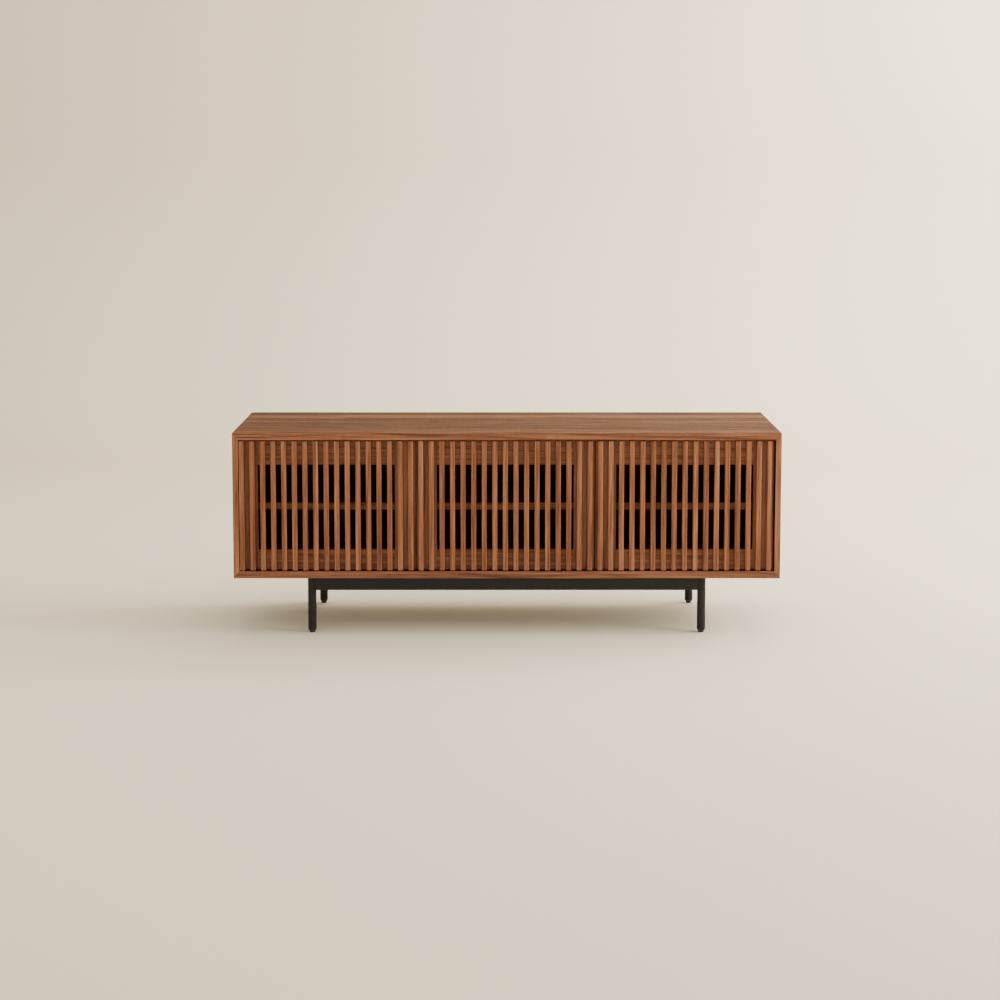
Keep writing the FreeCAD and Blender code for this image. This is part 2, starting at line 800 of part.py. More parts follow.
washers = []
for door in DOORS:
    washer = rod(f"{door}_washer_blank", (f"{door}_pivot", "pivot_line", "opening_bottom"), "Z",
                 "washer_radius", "bottom_gap - washer_clearance")
    hole = rod(f"{door}_washer_hole", (f"{door}_pivot", "pivot_line", "opening_bottom"), "Z",
               "pivot_radius + pivot_clearance", "bottom_gap")
    washers.append(cut(f"{door}_washer", washer, [hole]))
keep(group("plate_group", case_plates), "case_pivot_plates")
keep(group("washer_group", washers), "pivot_washers")
keep(group("plate_screw_group", case_plate_screws), "pivot_plate_screws")
keep(group("latch_group", latch_housings), "latch_housings")
keep(group("latch_screw_group", latch_screws), "latch_screws")

# ---------------------------------------------------------------- pieces: the base

legs = {}
leg_solids = []
for (side, end), leg_name in zip(corners, ("front_left", "back_left", "front_right", "back_right")):
    foot = (f"{side} * leg_right", f"{end} * leg_back", "glide_height")
    high = "underside_height - glide_height"
    outside = rod(f"{leg_name}_leg_outside", foot, "Z", "leg_radius", high)
    inside = rod(f"{leg_name}_leg_inside", foot, "Z", "leg_radius - leg_wall", high)
    leg_solids.append(outside)
    keep(cut(f"{leg_name}_leg_tube", outside, [inside]), f"{leg_name}_leg")


def rail_tube(label, corner, size, wall_sides, fitted_to):
    """A rectangular tube between two legs, its ends shaped to what it is welded to."""
    outside = box(f"{label}_outside", corner, size)
    hollow_corner = []
    hollow_size = []
    for at, length, walled in zip(corner, size, wall_sides):
        hollow_corner.append(f"{at} + rail_wall" if walled else at)
        hollow_size.append(f"{length} - 2 * rail_wall" if walled else length)
    hollow = box(f"{label}_hollow", hollow_corner, hollow_size)
    keep(cut(f"{label}_tube", outside, [hollow] + fitted_to), label)
    return outside


long_rails = []
for end, rail_name in ((-1, "front_rail"), (1, "back_rail")):
    long_rails.append(
        rail_tube(rail_name,
                  ("0 - leg_right", f"{end} * leg_back - rail_thick / 2", "rail_bottom"),
                  ("2 * leg_right", "rail_thick", "rail_height"), (False, True, True), leg_solids)
    )
for side, rail_name in ((-1, "left_rail"), (1, "right_rail")):
    rail_tube(rail_name,
              (f"{side} * leg_right - rail_thick / 2", "0 - leg_back", "rail_bottom"),
              ("rail_thick", "2 * leg_back", "rail_height"), (True, False, True),
              leg_solids + long_rails)

corner_plates = []
for side, end in corners:
    across = f"{side} * (leg_right - rail_thick / 2 - corner_plate_size / 2)"
    deep = f"{end} * (leg_back - rail_thick / 2 - corner_plate_size / 2)"
    blank = box("corner_plate_blank",
                (f"{across} - corner_plate_size / 2", f"{deep} - corner_plate_size / 2",
                 "corner_plate_bottom"),
                ("corner_plate_size", "corner_plate_size", "corner_plate_thick"))
    corner_plates.append(cut("corner_plate", blank, leg_solids + bolts))
keep(group("corner_plate_group", corner_plates), "corner_plates")
keep(group("bolt_group", bolts), "base_bolts")

glide = doc.addObject("PartDesign::Body", "foot_glides")
profile = outline(glide, "XZ_Plane", [
    ("0", "0"),
    ("glide_pad_radius", "0"),
    ("glide_pad_radius", "glide_pad_height"),
    ("leg_radius", "glide_height"),
    ("leg_radius - leg_wall - glide_clearance", "glide_height"),
    ("leg_radius - leg_wall - glide_clearance", "glide_height + glide_plug_length"),
    ("0", "glide_height + glide_plug_length"),
])
turned = glide.newObject("PartDesign::Revolution", "glide_turned")
turned.Profile = profile
turned.ReferenceAxis = (profile, ["V_Axis"])
turned.Angle = 360
repeated = glide.newObject("PartDesign::LinearPattern", "glide_pattern")
repeated.Originals = [turned]
repeated.Direction = (origin_part(glide, "X_Axis"), [""])
repeated.Direction2 = (origin_part(glide, "Y_Axis"), [""])
repeated.Occurrences = 2
repeated.Occurrences2 = 2
bind(repeated, {"Length": "2 * leg_right", "Length2": "2 * leg_back"})
glide.Tip = repeated
place(glide, ("0 - leg_right", "0 - leg_back", "0"))
keep(glide, "foot_glides")

# ---------------------------------------------------------------- check, then write

doc.recompute()
faults = [thing.Label for thing in doc.Objects if {"Invalid", "Error"} & set(thing.State)]
for piece in pieces:
    if piece.Shape.isNull() or not piece.Shape.isValid() or not piece.Shape.Solids:
        faults.append(piece.Label)
if faults:
    raise RuntimeError("failed: " + ", ".join(faults))
for piece in pieces:
    piece.Shape.exportStep(f"parts/{piece.Label}.step")
print(len(pieces), "pieces written")
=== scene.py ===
import random
from math import cos, pi, radians, sin, sqrt

import bmesh
import bpy
from bpy.props import FloatProperty, FloatVectorProperty, IntProperty, PointerProperty
from mathutils import Matrix, Vector


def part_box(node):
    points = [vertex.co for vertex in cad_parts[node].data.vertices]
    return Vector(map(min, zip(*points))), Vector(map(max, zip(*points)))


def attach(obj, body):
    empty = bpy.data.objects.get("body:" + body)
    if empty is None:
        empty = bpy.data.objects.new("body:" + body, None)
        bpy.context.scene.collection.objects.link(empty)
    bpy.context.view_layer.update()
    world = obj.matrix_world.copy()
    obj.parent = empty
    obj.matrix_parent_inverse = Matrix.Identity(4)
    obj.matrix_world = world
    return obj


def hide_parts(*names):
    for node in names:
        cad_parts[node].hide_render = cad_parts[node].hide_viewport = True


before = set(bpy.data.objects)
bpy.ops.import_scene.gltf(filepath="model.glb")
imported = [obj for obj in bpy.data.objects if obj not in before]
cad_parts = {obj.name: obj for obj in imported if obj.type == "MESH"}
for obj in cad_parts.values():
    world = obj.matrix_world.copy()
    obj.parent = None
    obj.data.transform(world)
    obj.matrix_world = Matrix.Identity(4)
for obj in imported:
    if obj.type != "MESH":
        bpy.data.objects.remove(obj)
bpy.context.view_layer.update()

bl_info = {
    "name": "Slatted Media Cabinet",
    "version": (1, 0, 0),
    "blender": (4, 5, 0),
    "location": "3D View > Sidebar > Cabinet",
    "description": "Finishes a walnut media cabinet with slatted doors on a black steel base",
    "category": "Object",
}

DOORS = ("left", "middle", "right")
SIDES = ("left", "right")
LEGS = ("front_left", "front_right", "back_left", "back_right")
TURNED_ALONG_X = (0.0, 0.0, 0.0)
TURNED_ALONG_Z = (0.0, pi / 2, 0.0)
HAIR = 1e-5                     # two places nearer than this, in metres, are the same
FLAT = radians(0.5)             # triangles that meet flatter than this are one face
SHARP = radians(40)             # edges sharper than this are eased
SMOOTH_UNDER = radians(32)      # flatter edges than this are shaded smooth
SMOOTH_ROUNDING = radians(70)   # and so are these, within a rounded edge
SMOOTH_BEADS = radians(50)      # and these, round a weld bead
GRAIN_REACH = 9                 # how far off, in metres, a board's grain may be taken from

MOSTLY = 0.5                    # a face looks one way when this much of its normal does

# How long, in metres, an edge has to be before it is eased. The larger ones leave out the
# edges of holes and grooves, and the smaller ones take in the rims of round parts.
LONG_EDGES = 0.1
RAIL_EDGES = 0.05
FRAME_EDGES = 0.017
SIDE_PANEL_EDGES = 0.016
HOUSING_EDGES = 0.004
MOST_EDGES = 0.003
SLEEVE_EDGES = 0.0008
ROUND_EDGES = 0.0005
PLUNGER_EDGES = 0.0002

# Drivers' sockets: what shape they have and how deep they are, in metres.
HEAD_CORNERS = 11               # a screw's or bolt's round head has more corners than this
SCREW_CROSS = (0.0019, 0.00045)
SCREW_SOCKET_DEPTH = 0.0012
HEX_RADIUS = 0.0028
HEX_DEPTH = 0.003

# How far, in metres, edges are eased where the settings don't say.
FINE_ROUNDING = 0.0003
BACK_ROUNDING = 0.0004
BIRCH_ROUNDING = 0.0005
MOULDED_ROUNDING = 0.0012
RAIL_ROUNDING = 0.0015
MOULDED_SEGMENTS = 4

# How much finer than its own length a pattern is along X, Y and Z.
BRUSHED_METAL = (1.0, 9.0, 30.0)
BIRCH_FIBRES = (1.0, 20.0, 20.0)

DUST = (0.5, 0.48, 0.45, 1.0)
SKY_COLOUR = (1.0, 0.955, 0.86, 1.0)
# name, place, what it points at, width and colour; the studio's settings hold each one's power
SOFT_LIGHTS = (
    ("key_light", (4.1, -0.35, 2.05), (0.2, 0.0, 0.35), 3.0, (1.0, 0.945, 0.86)),
    ("overhead_light", (0.6, 0.9, 3.6), (0.0, 0.0, 0.0), 4.0, (1.0, 0.93, 0.82)),
    ("wall_light", (4.2, 1.6, 3.0), (2.4, 4.0, 2.6), 1.6, (1.0, 0.95, 0.88)),
)


# ---------------------------------------------------------------- what a user would change

class CabinetSizes(bpy.types.PropertyGroup):
    """How far edges are eased, and which boards are chosen"""
    board_edge: FloatProperty(
        name="Board edge", description="How far the edges of the case's boards are eased",
        default=0.0007, unit="LENGTH")
    slat_edge: FloatProperty(
        name="Slat edge", description="How far the ends of the slats are eased",
        default=0.0006, unit="LENGTH")
    metal_edge: FloatProperty(
        name="Metal edge", description="How far the edges of plates and tubes are eased",
        default=0.0004, unit="LENGTH")
    weld_bead: FloatProperty(
        name="Weld bead", description="Radius of the weld where a rail meets a leg",
        default=0.0016, unit="LENGTH")
    seed: IntProperty(
        name="Seed", description="Chooses the boards' grain and tone", default=11)


class CabinetColours(bpy.types.PropertyGroup):
    """The colours of the wood, the base and the studio"""
    walnut_dark: FloatVectorProperty(
        name="Dark walnut", description="Colour of the darkest streaks",
        subtype="COLOR", default=(0.078, 0.0255, 0.0103))
    walnut_middle: FloatVectorProperty(
        name="Walnut", description="The walnut's main colour",
        subtype="COLOR", default=(0.180, 0.063, 0.026))
    walnut_light: FloatVectorProperty(
        name="Light walnut", description="Colour of the palest streaks",
        subtype="COLOR", default=(0.290, 0.118, 0.054))
    # Near-black colour of the case's inside: painted shade of the closed case.
    inside_shade: FloatVectorProperty(
        name="Espresso", description="Painted shade on the inside of the case",
        subtype="COLOR", default=(0.016, 0.008, 0.0048))
    powder_coat: FloatVectorProperty(
        name="Powder coat", description="The base's black coating",
        subtype="COLOR", default=(0.0036, 0.0040, 0.0045))
    backdrop: FloatVectorProperty(
        name="Backdrop", description="Floor and wall of the studio",
        subtype="COLOR", default=(0.54, 0.475, 0.363))


class CabinetStudio(bpy.types.PropertyGroup):
    """The camera and the power of the lights"""
    lens: FloatProperty(
        name="Lens", description="Focal length", unit="CAMERA", default=60.312)
    camera_place: FloatVectorProperty(
        name="Camera", description="Where the camera stands", subtype="TRANSLATION",
        default=(-0.0202, -5.0182, 1.4039))
    camera_tilt: FloatProperty(
        name="Tilt", description="How far the camera looks down", subtype="ANGLE",
        default=radians(4.928))
    shift: FloatVectorProperty(
        name="Shift", description="How far the lens is shifted across and up", size=2,
        default=(0.0001, -0.2))
    key_light: FloatProperty(
        name="Key light", description="Power of the wide soft light from the right",
        default=500.0, unit="POWER")
    overhead_light: FloatProperty(
        name="Overhead light", description="Power of the wide light above and behind",
        default=136.0, unit="POWER")
    sky_light: FloatProperty(
        name="Sky light", description="Strength of the light from all round", default=1.65)
    wall_light: FloatProperty(
        name="Wall light", description="Power of the wash of light on the wall",
        default=530.0, unit="POWER")


def sizes():
    return bpy.context.scene.cabinet_sizes


def colours():
    return bpy.context.scene.cabinet_colours


# ---------------------------------------------------------------- nodes for the materials

def node(tree, kind, inputs=None, **settings):
    """Adds a node with its settings; its inputs are sockets to link or values to set."""
    made = tree.nodes.new(kind)
    for name, value in settings.items():
        setattr(made, name, value)
    for key, value in (inputs or {}).items():
        if isinstance(value, bpy.types.NodeSocket):
            tree.links.new(value, made.inputs[key])
        else:
            made.inputs[key].default_value = value
    return made


def calc(tree, operation, first, second=0.0, third=0.0, clamp=False):
    """One step of arithmetic on values."""
    made = node(tree, "ShaderNodeMath", {0: first, 1: second, 2: third}, operation=operation,
                use_clamp=clamp)
    return made.outputs[0]


def scaled(tree, mask, factor):
    return calc(tree, "MULTIPLY", mask, factor)


def plus_scaled(tree, value, factor, base, clamp=False):
    """base + value * factor"""
    return calc(tree, "MULTIPLY_ADD", value, factor, base, clamp)


def centred(tree, value):
    """Moves a value that varies about a half to vary about nothing."""
    return calc(tree, "SUBTRACT", value, 0.5)


def spread(tree, value, low, high, to_low=0.0, to_high=1.0):
    """Maps a value from one range to another, kept within the second."""
    made = node(tree, "ShaderNodeMapRange", {
        "Value": value, "From Min": low, "From Max": high, "To Min": to_low, "To Max": to_high,
    }, clamp=True)
    return made.outputs["Result"]


def stretched(tree, vector, factors):
    """Coordinates in which a pattern is drawn out where its factor is small."""
    made = node(tree, "ShaderNodeVectorMath", {0: vector, 1: factors}, operation="MULTIPLY")
    return made.outputs[0]


def noise(tree, vector, scale=1.0, detail=2.0, roughness=0.5, distortion=0.0):
    made = node(tree, "ShaderNodeTexNoise", {
        "Vector": vector, "Scale": scale, "Detail": detail, "Roughness": roughness,
        "Distortion": distortion,
    })
    return made.outputs["Fac"]


def blended(tree, factor, first, second):
    """A colour between two; 6, 7 and 2 are the Mix node's colour sockets."""
    made = node(tree, "ShaderNodeMix", {"Factor": factor, 6: first, 7: second},
                data_type="RGBA")
    return made.outputs[2]


def new_group(name, inputs, outputs):
    """An empty node group with named sockets, and its two ends."""
    tree = bpy.data.node_groups.new(name, "ShaderNodeTree")
    for socket_name, kind in inputs:
        tree.interface.new_socket(socket_name, in_out="INPUT", socket_type=kind)
    for socket_name, kind in outputs:
        tree.interface.new_socket(socket_name, in_out="OUTPUT", socket_type=kind)
    return tree, tree.nodes.new("NodeGroupInput"), tree.nodes.new("NodeGroupOutput")


def attribute(tree, name, output="Fac"):
    return node(tree, "ShaderNodeAttribute", attribute_name=name).outputs[output]


def build_long_grain(name):
    """Walnut's figure for grain along X: slow streaks, growth lines, fine lines and pores."""
    tree, start, end = new_group(
        name,
        [("Vector", "NodeSocketVector"), ("Growth lines", "NodeSocketFloat"),
         ("Contrast", "NodeSocketFloat")],
        [("Shade", "NodeSocketFloat"), ("Pores", "NodeSocketFloat")],
    )
    shift = attribute(tree, "shift", "Vector")
    placed = node(tree, "ShaderNodeVectorMath", {0: start.outputs["Vector"], 1: shift},
                  operation="ADD").outputs[0]
    slow = noise(tree, stretched(tree, placed, (1.0, 14.0, 14.0)), detail=3.0)
    streaks = noise(tree, stretched(tree, placed, (2.4, 120.0, 120.0)), detail=4.0, roughness=0.6)
    fine = noise(tree, stretched(tree, placed, (8.0, 480.0, 480.0)), detail=3.0)
    figure = node(tree, "ShaderNodeTexWave", {
        "Vector": stretched(tree, placed, (0.5, 11.0, 11.0)), "Scale": 2.2, "Distortion": 8.0,
        "Detail": 3.0, "Detail Scale": 1.1, "Detail Roughness": 0.55,
    }, wave_type="BANDS", bands_direction="DIAGONAL").outputs["Fac"]
    dark_lines = spread(tree, figure, 0.03, 0.30, -1.0, 0.12)
    shade = scaled(tree, dark_lines, start.outputs["Growth lines"])
    for layer, weight in ((slow, 0.8), (streaks, 2.0), (fine, 1.9)):
        shade = plus_scaled(tree, centred(tree, layer), weight, shade)
    shade = plus_scaled(tree, shade, start.outputs["Contrast"], 0.5, clamp=True)
    pores = noise(tree, stretched(tree, placed, (50.0, 1900.0, 1900.0)), detail=1.0)
    tree.links.new(shade, end.inputs["Shade"])
    tree.links.new(spread(tree, pores, 0.60, 0.70), end.inputs["Pores"])
    return tree


def build_veneer_leaves(name):
    """Side by side leaves of veneer across Y: a tone for each leaf and the seam between them."""
    tree, start, end = new_group(
        name,
        [("Vector", "NodeSocketVector"), ("Leaf width", "NodeSocketFloat")],
        [("Tone", "NodeSocketFloat"), ("Seam", "NodeSocketFloat")],
    )
    parts = node(tree, "ShaderNodeSeparateXYZ", {0: start.outputs["Vector"]})
    along = calc(tree, "DIVIDE", parts.outputs["Y"], start.outputs["Leaf width"])
    uneven = scaled(tree, calc(tree, "SINE", scaled(tree, along, 2.1)), 0.3)
    count = calc(tree, "ADD", along, uneven)
    leaf = calc(tree, "FLOOR", count)
    tone = node(tree, "ShaderNodeTexWhiteNoise", {"W": leaf}, noise_dimensions="1D")
    within = calc(tree, "ABSOLUTE", centred(tree, calc(tree, "FRACT", count)))
    tree.links.new(tone.outputs["Value"], end.inputs["Tone"])
    tree.links.new(spread(tree, within, 0.485, 0.5), end.inputs["Seam"])
    return tree


def build_edge_wear(name):
    """Where eased edges have been rubbed, broken up so that no edge is worn all along."""
    tree, start, end = new_group(
        name,
        [("Vector", "NodeSocketVector"), ("Patch scale", "NodeSocketFloat")],
        [("Mask", "NodeSocketFloat")],
    )
    patches = noise(tree, start.outputs["Vector"], start.outputs["Patch scale"], detail=4.0,
                    roughness=0.65)
    rubbed = scaled(tree, attribute(tree, "worn"), spread(tree, patches, 0.38, 0.62))
    tree.links.new(rubbed, end.inputs["Mask"])
    return tree


def build_handled(name):
    """The faint smears and specks of dust that wiped and handled surfaces have."""
    tree, start, end = new_group(
        name,
        [("Vector", "NodeSocketVector")],
        [("Gloss", "NodeSocketFloat"), ("Dust", "NodeSocketFloat")],
    )
    smears = noise(tree, start.outputs["Vector"], 7.0, detail=5.0, roughness=0.6, distortion=0.4)
    specks = noise(tree, start.outputs["Vector"], 900.0, roughness=0.7)
    tree.links.new(spread(tree, smears, 0.35, 0.65), end.inputs["Gloss"])
    tree.links.new(spread(tree, specks, 0.70, 0.80), end.inputs["Dust"])
    return tree


def use_group(tree, name, build, inputs):
    """Places a shared effect in a tree, and builds it the first time it is asked for."""
    group = bpy.data.node_groups.get(name) or build(name)
    return node(tree, "ShaderNodeGroup", inputs, node_tree=group).outputs


def empty_material(name):
    """A new material's tree, its shader, and the object's own coordinates."""
    material = bpy.data.materials.new(name)
    material.use_nodes = True
    tree = material.node_tree
    coordinates = node(tree, "ShaderNodeTexCoord").outputs["Object"]
    return material, tree, tree.nodes["Principled BSDF"], coordinates


def bump(tree, shader, height, distance, strength):
    made = node(tree, "ShaderNodeBump", {"Height": height, "Distance": distance,
                                         "Strength": strength})
    tree.links.new(made.outputs["Normal"], shader.inputs["Normal"])


def rgba(colour, factor=1.0):
    return (colour[0] * factor, colour[1] * factor, colour[2] * factor, 1.0)


def turned(tree, coordinates, turn):
    """Coordinates turned so that the grain, which is built along X, runs another way."""
    return node(tree, "ShaderNodeMapping", {"Vector": coordinates, "Rotation": turn}).outputs[0]


def edge_wear(tree, coordinates, patch_scale):
    return use_group(tree, "Edge wear", build_edge_wear,
                     {"Vector": coordinates, "Patch scale": patch_scale})["Mask"]


def walnut(name, turn, brightness=1.0, leaf_width=0.0, leaf_tone=0.5, growth_lines=0.3,
           contrast=0.9, satin=0.5, gloss_level=0.25, tint=(1.0, 1.0, 1.0)):
    """Lacquered walnut; turn lays its grain, and a leaf width lays it as leaves of veneer."""
    found = bpy.data.materials.get(name)
    if found:
        return found
    material, tree, shader, coordinates = empty_material(name)
    along = turned(tree, coordinates, turn)
    grain = use_group(tree, "Long grain", build_long_grain,
                      {"Vector": along, "Growth lines": growth_lines, "Contrast": contrast})
    shade = calc(tree, "ADD", grain["Shade"], attribute(tree, "tone"), clamp=True)
    seam = None
    if leaf_width:
        leaves = use_group(tree, "Veneer leaves", build_veneer_leaves,
                           {"Vector": along, "Leaf width": leaf_width})
        shade = plus_scaled(tree, centred(tree, leaves["Tone"]), leaf_tone, shade, clamp=True)
        seam = leaves["Seam"]
    ramp = node(tree, "ShaderNodeValToRGB", {"Fac": shade})
    stops = ramp.color_ramp.elements
    # brightness and tint make lighter and darker copies of one walnut: painted light and shade.
    dark, middle, light = (
        [channel * part * brightness for channel, part in zip(colour, tint)]
        for colour in (colours().walnut_dark, colours().walnut_middle, colours().walnut_light)
    )
    stops[0].color = rgba(dark)
    stops[1].color = rgba(light)
    stops.new(0.5).color = rgba(middle)
    wear = edge_wear(tree, coordinates, patch_scale=34.0)
    colour = blended(tree, scaled(tree, grain["Pores"], 0.55), ramp.outputs["Color"],
                     rgba(dark, 0.35))
    if seam:
        colour = blended(tree, scaled(tree, seam, 0.6), colour, rgba(dark, 0.5))
    # Eased edges turn lighter: wear, and also a painted highlight along the edges.
    colour = blended(tree, scaled(tree, wear, 0.5), colour, rgba(light, 1.25))
    tree.links.new(colour, shader.inputs["Base Color"])
    handled = use_group(tree, "Handled", build_handled, {"Vector": coordinates})
    roughness = plus_scaled(tree, handled["Gloss"], 0.07, satin)
    roughness = plus_scaled(tree, grain["Pores"], 0.2, roughness)
    roughness = plus_scaled(tree, wear, 0.08, roughness)
    tree.links.new(roughness, shader.inputs["Roughness"])
    height = plus_scaled(tree, grain["Pores"], -0.6, grain["Shade"])
    bump(tree, shader, height, distance=0.00012, strength=0.55)
    shader.inputs["Specular IOR Level"].default_value = gloss_level
    return material


def inside_shade(name, turn):
    """Near-black matt colour that lets a little of the grain through: painted shade of the closed
    case's inside.
    """
    found = bpy.data.materials.get(name)
    if found:
        return found
    material, tree, shader, coordinates = empty_material(name)
    grain = use_group(tree, "Long grain", build_long_grain, {
        "Vector": turned(tree, coordinates, turn), "Growth lines": 0.3, "Contrast": 1.0,
    })
    # Near-black, darker than the walnut: painted shade inside the case.
    shade_colour = colours().inside_shade
    colour = blended(tree, grain["Shade"], rgba(shade_colour, 0.6), rgba(shade_colour, 1.7))
    wear = edge_wear(tree, coordinates, patch_scale=40.0)
    colour = blended(tree, scaled(tree, wear, 0.3), colour, rgba(colours().walnut_dark))
    tree.links.new(colour, shader.inputs["Base Color"])
    roughness = spread(tree, grain["Shade"], 0.0, 1.0, to_low=0.5, to_high=0.62)
    tree.links.new(roughness, shader.inputs["Roughness"])
    shader.inputs["Specular IOR Level"].default_value = 0.2
    bump(tree, shader, grain["Shade"], distance=0.0001, strength=0.5)
    return material


def plain_finish(name, colour, roughness, grit_depth, grit_scale, worn_colour, metallic=0.0,
                 brushed=None, gloss_level=0.5):
    """Metal, moulded plastic or rubber: fine grit or brushing, handling and worn edges."""
    found = bpy.data.materials.get(name)
    if found:
        return found
    material, tree, shader, coordinates = empty_material(name)
    pattern = stretched(tree, coordinates, brushed) if brushed else coordinates
    grit = noise(tree, pattern, grit_scale, detail=3.0, roughness=0.6)
    wear = edge_wear(tree, coordinates, patch_scale=60.0)
    handled = use_group(tree, "Handled", build_handled, {"Vector": coordinates})
    tint = blended(tree, grit, rgba(colour, 0.82), rgba(colour, 1.18))
    tint = blended(tree, scaled(tree, wear, 0.45), tint, rgba(worn_colour))
    tint = blended(tree, scaled(tree, handled["Dust"], 0.12), tint, DUST)
    tree.links.new(tint, shader.inputs["Base Color"])
    uneven = plus_scaled(tree, handled["Gloss"], 0.08, roughness)
    tree.links.new(plus_scaled(tree, grit, 0.06, uneven), shader.inputs["Roughness"])
    bump(tree, shader, grit, distance=grit_depth, strength=0.6)
    shader.inputs["Metallic"].default_value = metallic
    shader.inputs["Specular IOR Level"].default_value = gloss_level
    return material


def black_coat():
    return plain_finish("Black powder coat", colours().powder_coat, roughness=0.4,
                        grit_depth=0.00012, grit_scale=1500.0,
                        worn_colour=(0.05, 0.047, 0.044), gloss_level=0.25)


def black_plastic():
    return plain_finish("Black moulded plastic", (0.012, 0.012, 0.012), roughness=0.5,
                        grit_depth=0.00005, grit_scale=1900.0, worn_colour=(0.05, 0.05, 0.05))


def grey_plastic():
    return plain_finish("Grey moulded plastic", (0.27, 0.27, 0.26), roughness=0.42,
                        grit_depth=0.00003, grit_scale=1600.0, worn_colour=(0.4, 0.4, 0.39))


def black_rubber():
    return plain_finish("Black rubber", (0.02, 0.019, 0.018), roughness=0.75,
                        grit_depth=0.0001, grit_scale=1300.0, worn_colour=(0.07, 0.068, 0.065))


def black_nylon():
    return plain_finish("Black nylon", (0.02, 0.02, 0.021), roughness=0.42,
                        grit_depth=0.00003, grit_scale=1200.0, worn_colour=(0.07, 0.07, 0.07))


def zinc_plate():
    return plain_finish("Zinc plated steel", (0.52, 0.51, 0.48), roughness=0.3,
                        grit_depth=0.00002, grit_scale=60.0, worn_colour=(0.68, 0.67, 0.64),
                        metallic=1.0, brushed=BRUSHED_METAL)


def burnished_steel():
    return plain_finish("Burnished steel", (0.085, 0.078, 0.070), roughness=0.42,
                        grit_depth=0.00002, grit_scale=60.0, worn_colour=(0.3, 0.28, 0.26),
                        metallic=1.0, brushed=BRUSHED_METAL)


def black_zinc():
    return plain_finish("Black zinc", (0.05, 0.049, 0.047), roughness=0.36,
                        grit_depth=0.00003, grit_scale=1500.0, worn_colour=(0.3, 0.29, 0.28),
                        metallic=0.85)


def raw_birch():
    return plain_finish("Birch", (0.62, 0.45, 0.27), roughness=0.6,
                        grit_depth=0.0001, grit_scale=60.0, worn_colour=(0.7, 0.55, 0.36),
                        brushed=BIRCH_FIBRES)


# ---------------------------------------------------------------- making and placing pieces

def new_verts(made):
    """The vertices among what a bmesh operator made."""
    return [part for part in made if isinstance(part, bmesh.types.BMVert)]


def new_faces(made):
    return [part for part in made if isinstance(part, bmesh.types.BMFace)]


def far_edges(made):
    """The edges along the far side of what an extrusion made."""
    moved = new_verts(made)
    return [part for part in made if isinstance(part, bmesh.types.BMEdge)
            and all(vert in moved for vert in part.verts)]


def islands(bm):
    """The separate solids in a mesh, in order along X, then Y, then Z."""
    left = set(bm.verts)
    found = []
    while left:
        group = set()
        waiting = [next(iter(left))]
        while waiting:
            vert = waiting.pop()
            if vert in group:
                continue
            group.add(vert)
            waiting += [edge.other_vert(vert) for edge in vert.link_edges]
        left -= group
        found.append(list(group))
    return sorted(found, key=lambda verts: tuple(
        round(sum(vert.co[axis] for vert in verts) / len(verts), 4) for axis in range(3)))


def joined_copy(name):
    """A mesh of a CAD node with its triangles joined into whole flat faces."""
    bm = bmesh.new()
    bm.from_mesh(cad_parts[name].data)
    bmesh.ops.remove_doubles(bm, verts=bm.verts, dist=HAIR)
    bmesh.ops.dissolve_limit(bm, angle_limit=FLAT, verts=bm.verts, edges=bm.edges)
    return bm


def mark_boards(bm, chance, tone_spread):
    """Gives each solid its own place in the grain and its own tone."""
    shift = bm.verts.layers.float_vector.new("shift")
    tone = bm.verts.layers.float.new("tone")
    for verts in islands(bm):
        place = Vector([chance.uniform(-GRAIN_REACH, GRAIN_REACH) for axis in range(3)])
        lighter = chance.uniform(-tone_spread, tone_spread)
        for vert in verts:
            vert[shift] = place
            vert[tone] = lighter


def ease(bm, width, longer_than=MOST_EDGES, segments=2):
    """Rounds the sharp edges and marks the new faces as open to wear."""
    worn = bm.faces.layers.float.new("worn")
    sharp = [
        edge for edge in bm.edges
        if edge.is_manifold and edge.calc_length() > longer_than
        and edge.calc_face_angle() > SHARP and edge.is_convex
    ]
    eased = bmesh.ops.bevel(bm, geom=sharp, offset=width, segments=segments, profile=0.5,
                            affect="EDGES", clamp_overlap=True, material=-1)
    for face in eased["faces"]:
        face[worn] = 1.0


def driven_heads(bm):
    """The flat round face that a driver turns, one for each screw or bolt."""
    heads = []
    for verts in islands(bm):
        faces = {face for vert in verts for face in vert.link_faces}
        flat = [face for face in faces if len(face.verts) > HEAD_CORNERS]
        heads.append(max(flat, key=lambda face: face.calc_area()))
    return heads


def polygon(sides, radius):
    """The corners of a regular outline."""
    return [(radius * cos(2 * pi * side / sides), radius * sin(2 * pi * side / sides))
            for side in range(sides)]


def cross(reach, half_width):
    """A cross's outline: its four arms, each with two corners, and the corners between."""
    points = []
    for quarter in range(4):
        c, s = cos(quarter * pi / 2), sin(quarter * pi / 2)
        for x, y in ((reach, -half_width), (reach, half_width), (half_width, half_width)):
            points.append((x * c - y * s, x * s + y * c))
    return points


def sink_socket(bm, head, outline, depth):
    """Cuts a driver's socket into the middle of a flat round head."""
    centre, normal = head.calc_center_median(), head.normal.copy()
    across = (head.verts[0].co - centre).normalized()
    up = normal.cross(across)
    around = list(head.edges)
    rim = [bm.verts.new(centre + across * x + up * y) for x, y in outline]
    lip = [bm.edges.new((rim[place - 1], rim[place])) for place in range(len(rim))]
    bmesh.ops.delete(bm, geom=[head], context="FACES_ONLY")
    ring = bmesh.ops.triangle_fill(bm, edges=around + lip, normal=normal, use_beauty=True)["geom"]
    walls = bmesh.ops.extrude_edge_only(bm, edges=lip)["geom"]
    bmesh.ops.translate(bm, verts=new_verts(walls), vec=-normal * depth)
    floor = bmesh.ops.edgeloop_fill(bm, edges=far_edges(walls))["faces"]
    bmesh.ops.recalc_face_normals(bm, faces=new_faces(ring) + new_faces(walls) + floor)


